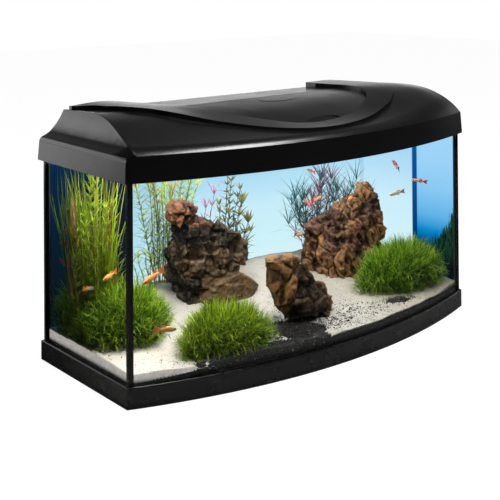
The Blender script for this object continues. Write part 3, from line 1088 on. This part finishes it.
def stems_right():
    rng = np.random.RandomState(24)
    cl = Clump()
    for i in range(21):
        f = i / 20
        x = 0.200 + 0.110 * f + rng.uniform(-0.006, 0.006)
        y = 0.150 + rng.uniform(-0.010, 0.012)
        h = 0.158 - 0.55 * abs(f - 0.5) * 0.10 - rng.uniform(0, 0.060)
        red = 5 <= i <= 15 and i % 2 == 1
        leafy(cl, rng, np.array((x, y, float(ground_z(x, y)))), h, ((f - 0.45) * 0.125, rng.uniform(-0.02, 0.0), 0), 8, 0.0150, 0.080, 0.0024, 0.75,
              (0.018, 0.085, 0.10), (0.22, 0.055, 0.12) if red else (0.03, 0.13, 0.17), stemcolour=(0.10, 0.03, 0.05), rise=0.85, start=0.2)
    return settle(cl.done("stem_plants_right_leaves", M["purple"]), "stem_plants_right", "stems_purple")


stems_left()
tall_grass()
stems_centre()
stems_right()


# ------------------------------------------------------------------ fish
ORANGE, RED, DARKRED, SILVER, GOLD = (0.85, 0.26, 0.03), (0.62, 0.06, 0.02), (0.22, 0.02, 0.015), (0.50, 0.42, 0.30), (0.70, 0.38, 0.10)
FISH = (
    (-311, -42, 178, 195, ORANGE, ORANGE, 1.9), (-324, -98, 107, 10, GOLD, ORANGE, 1.75), (131, 60, 222, 80, RED, RED, 1.25), (147, 50, 229, 12, ORANGE, RED, 1.25),
    (98, 50, 165, 20, GOLD, RED, 1.35), (140, 60, 285, 80, DARKRED, RED, 1.1), (191, 0, 231, 30, ORANGE, GOLD, 1.35), (321, -4, 284, 60, DARKRED, DARKRED, 1.65),
    (328, -62, 259, 150, ORANGE, RED, 1.15), (349, 20, 218, 170, SILVER, GOLD, 1.35), (-368, 4, 180, 205, ORANGE, ORANGE, 1.45), (-372, 66, 145, 25, SILVER, ORANGE, 1.2),
    (-374, 140, 230, 95, RED, SILVER, 1.5), (-372, 112, 228, 80, RED, ORANGE, 1.4), (-376, 140, 208, 100, RED, ORANGE, 1.3), (-378, 145, 174, 85, RED, SILVER, 1.3),
    (-370, 128, 174, 60, RED, ORANGE, 1.1),
)


def one_fish(cl, x, y, z, heading, body, fin, size, seed):
    rng = np.random.RandomState(seed)
    st = np.array([-0.0080, -0.0060, -0.0035, -0.0005, 0.0030, 0.0065, 0.0100, 0.0125, 0.0142])
    hh = np.array([0.0010, 0.0012, 0.0017, 0.0023, 0.0027, 0.0027, 0.0022, 0.0015, 0.0005])
    ww = hh * np.array([0.45, 0.5, 0.52, 0.56, 0.62, 0.66, 0.68, 0.7, 0.7])
    k = 10
    a = np.linspace(0, 2 * PI, k, endpoint=False)
    V = np.array([(s, w * math.cos(t), h * math.sin(t) + 0.0006 * (1 - ((s - 0.003) / 0.012) ** 2)) for s, h, w in zip(st, hh, ww) for t in a])
    F = [(i * k + j, i * k + (j + 1) % k, (i + 1) * k + (j + 1) % k, (i + 1) * k + j) for i in range(len(st) - 1) for j in range(k)]
    F.append(tuple(range(k - 1, -1, -1)))
    F.append(tuple((len(st) - 1) * k + j for j in range(k)))
    belly = np.clip(0.5 - V[:, 2] / 0.006, 0, 1)
    col = lerp(body, (0.75, 0.62, 0.48), belly * 0.55)
    head = np.clip((V[:, 0] - 0.0085) / 0.004, 0, 1)
    col = col * (1 - 0.35 * head[:, None])
    parts = [(V, F, col)]
    # eyes
    for sgn in (-1, 1):
        e = np.array([(0.0108 + 0.0009 * math.cos(t) * math.cos(p), sgn * (0.00155 + 0.0005 * math.sin(p)), 0.0010 + 0.0009 * math.sin(t) * math.cos(p))
                      for p in (0.0, 0.8, 1.5) for t in np.linspace(0, 2 * PI, 7, endpoint=False)])
        f = [(i * 7 + j, i * 7 + (j + 1) % 7, (i + 1) * 7 + (j + 1) % 7, (i + 1) * 7 + j) for i in range(2) for j in range(7)]
        parts.append((e, f, np.tile((0.01, 0.01, 0.01), (len(e), 1))))
    # tail fan, back fin, belly fin: thin two-sided sheets with rays
    def sheet(rows, cols, fn, c0, c1):
        v = np.array([fn(i / (rows - 1), j / (cols - 1)) for i in range(rows) for j in range(cols)])
        f = [(i * cols + j, i * cols + j + 1, (i + 1) * cols + j + 1, (i + 1) * cols + j) for i in range(rows - 1) for j in range(cols - 1)]
        t = np.array([i / (rows - 1) for i in range(rows) for j in range(cols)])
        ray = np.array([0.8 + 0.2 * (j % 2) for i in range(rows) for j in range(cols)])
        parts.append((v, f, lerp(c0, c1, t) * ray[:, None]))
    wob = rng.uniform(-1, 1)
    sheet(6, 9, lambda u, w: (-0.0075 - u * 0.0085 * (0.8 + 0.2 * abs(2 * w - 1)), 0.0012 * wob * u * math.sin(2.5 * u + w), (w - 0.5) * (0.0020 + 0.0062 * u ** 0.8) + 0.0005), fin, tuple(c * 0.7 for c in fin))
    sheet(4, 6, lambda u, w: (0.001 - w * 0.0065 - u * 0.003, 0.0004 * u * wob, 0.0026 - w * 0.0007 + u * 0.0022 * (1 - 0.4 * w)), body, fin)
    sheet(4, 5, lambda u, w: (-0.0005 - w * 0.004 - u * 0.002, 0.0003 * u, -0.0021 + w * 0.0007 - u * 0.0015 * (1 - 0.3 * w)), body, fin)
    h = math.radians(heading)
    pitch = rng.uniform(-0.25, 0.25)
    cp, sp = math.cos(pitch), math.sin(pitch)
    rot = np.array([(math.cos(h) * cp, -math.sin(h), -math.cos(h) * sp), (math.sin(h) * cp, math.cos(h), -math.sin(h) * sp), (sp, 0, cp)])
    for v, f, c in parts:
        cl.put(v * size @ rot.T + np.array((x, y, z)), f, c)


cl = Clump()
for i, (x, y, z, hd, c1, c2, size) in enumerate(FISH):
    one_fish(cl, x / 1000, y / 1000, z / 1000, hd, c1, c2, size, 40 + i)
settle(cl.done("fish_shoal", M["fish"]), "fish", "fish")

# ------------------------------------------------------------------ stage, light, camera
def plane(name, size, z):
    me = bpy.data.meshes.new(name)
    s = size / 2
    me.from_pydata([(-s, -s, z), (s, -s, z), (s, s, z), (-s, s, z)], [], [(0, 1, 2, 3)])
    ob = bpy.data.objects.new(name, me)
    scene.collection.objects.link(ob)
    return ob


floor = plane("studio_floor", 14.0, -0.0004)
n = Net("floor_pale")
lp = n.add("LightPath")
tone = n.noise(n.coords(), 1.2, 3.0)
dif = n.add("BsdfDiffuse", {"Color": n.mix(tone, (0.13, 0.13, 0.13), (0.145, 0.145, 0.145))}).outputs[0]
em = n.add("Emission", {"Color": (1, 1, 1, 1), "Strength": n.math("MULTIPLY_ADD", lp.outputs["Is Camera Ray"], 0.955, 0.015)}).outputs[0]
floor.data.materials.append(n.end(n.add("AddShader", {0: dif, 1: em}).outputs[0]))

world = bpy.data.worlds.new("studio")
scene.world = world
world.use_nodes = True
wt = world.node_tree
wt.nodes.clear()
w = Net.__new__(Net)
w.nt = wt
out = wt.nodes.new("ShaderNodeOutputWorld")
TH = math.radians(38.839)
d = w.add("TexCoord").outputs["Generated"]
dx, dy, dz = w.xyz(d)
along = w.math("ADD", w.math("MULTIPLY", dx, math.sin(TH)), w.math("MULTIPLY", dy, math.cos(TH)))
behind = w.range(along, 0.35, 0.85)
height = w.ramp(w.range(dz, 0.0, 1.0, kind="LINEAR"), [(0.0, 1.25), (0.10, 1.05), (0.17, 0.70), (0.24, 0.42), (0.32, 0.24), (0.45, 0.10), (0.62, 0.03), (1.0, 0.04)])
lit = w.math("MULTIPLY_ADD", w.math("MULTIPLY", behind, height), 1.0, 0.03)
lp = w.add("LightPath")
strength = w.mix(lp.outputs["Is Camera Ray"], lit, (1.0, 1.0, 1.0))
bg = w.add("Background", {"Color": strength, "Strength": 1.0})
wt.links.new(bg.outputs[0], out.inputs[0])


def area(name, loc, target, sx, sy, power, colour=(1, 1, 1), camera=False, glossy=True):
    l = bpy.data.lights.new(name, "AREA")
    l.shape, l.size, l.size_y, l.energy, l.color = "RECTANGLE", sx, sy, power, colour
    ob = bpy.data.objects.new(name, l)
    ob.location = loc
    ob.rotation_euler = (Vector(target) - Vector(loc)).to_track_quat("-Z", "Y").to_euler()
    ob.visible_camera = camera
    ob.visible_glossy = glossy
    scene.collection.objects.link(ob)
    return ob


area("right_softbox", (0.64, -0.80, 2.40), (-0.12, -0.10, 0.42), 1.3, 0.55, 52)
area("left_panel", (-0.86, 1.555, 0.52), (-0.4, 0, 0.38), 1.2, 0.9, 5.9)
area("rear_left_panel", (-1.02, 1.78, 1.34), (-0.39, 0, 0.42), 0.8, 0.5, 2.4)
area("tank_lamp", (0, 0.05, 0.374), (0, 0.03, 0.0), 0.74, 0.20, 2.7, (1.0, 0.99, 0.95), glossy=False)
area("tank_left_lamp", (-0.335, -0.035, 0.372), (-0.325, -0.06, 0.0), 0.08, 0.12, 1.15, (1.0, 0.98, 0.93), glossy=False)
area("tank_front_lamp", (-0.04, -0.098, 0.372), (-0.02, 0.08, 0.10), 0.62, 0.05, 2.1, (1.0, 0.98, 0.93), glossy=False)

TH, PH, RO = math.radians(38.839), math.radians(-0.652), math.radians(-0.372)
Fw = Vector((math.sin(TH) * math.cos(PH), math.cos(TH) * math.cos(PH), -math.sin(PH)))
rt = Vector((math.cos(TH), -math.sin(TH), 0))
up = rt.cross(Fw)
X = rt * math.cos(RO) + up * math.sin(RO)
Y = -rt * math.sin(RO) + up * math.cos(RO)
cam_data = bpy.data.cameras.new("camera")
cam = bpy.data.objects.new("camera", cam_data)
scene.collection.objects.link(cam)
loc = Vector((-1.29297, -1.52728, 0.69212))
cam.matrix_world = Matrix(((X.x, Y.x, -Fw.x, loc.x), (X.y, Y.y, -Fw.y, loc.y), (X.z, Y.z, -Fw.z, loc.z), (0, 0, 0, 1)))
cam_data.sensor_width = 36.0
cam_data.lens = 1050.02 / 500 * 36.0
cam_data.clip_start = 0.01
# the lens is shifted down, as in product photography, only while the camera stands at its own place
drv = cam_data.driver_add("shift_y").driver
drv.type = "SCRIPTED"
var = drv.variables.new()
var.name, var.type = "px", "TRANSFORMS"
var.targets[0].id = cam
var.targets[0].transform_type = "LOC_X"
var.targets[0].transform_space = "WORLD_SPACE"
drv.expression = "-0.5822 if abs(px + 1.29297) < 0.002 else 0.0"
scene.camera = cam
scene.view_settings.view_transform = "Standard"
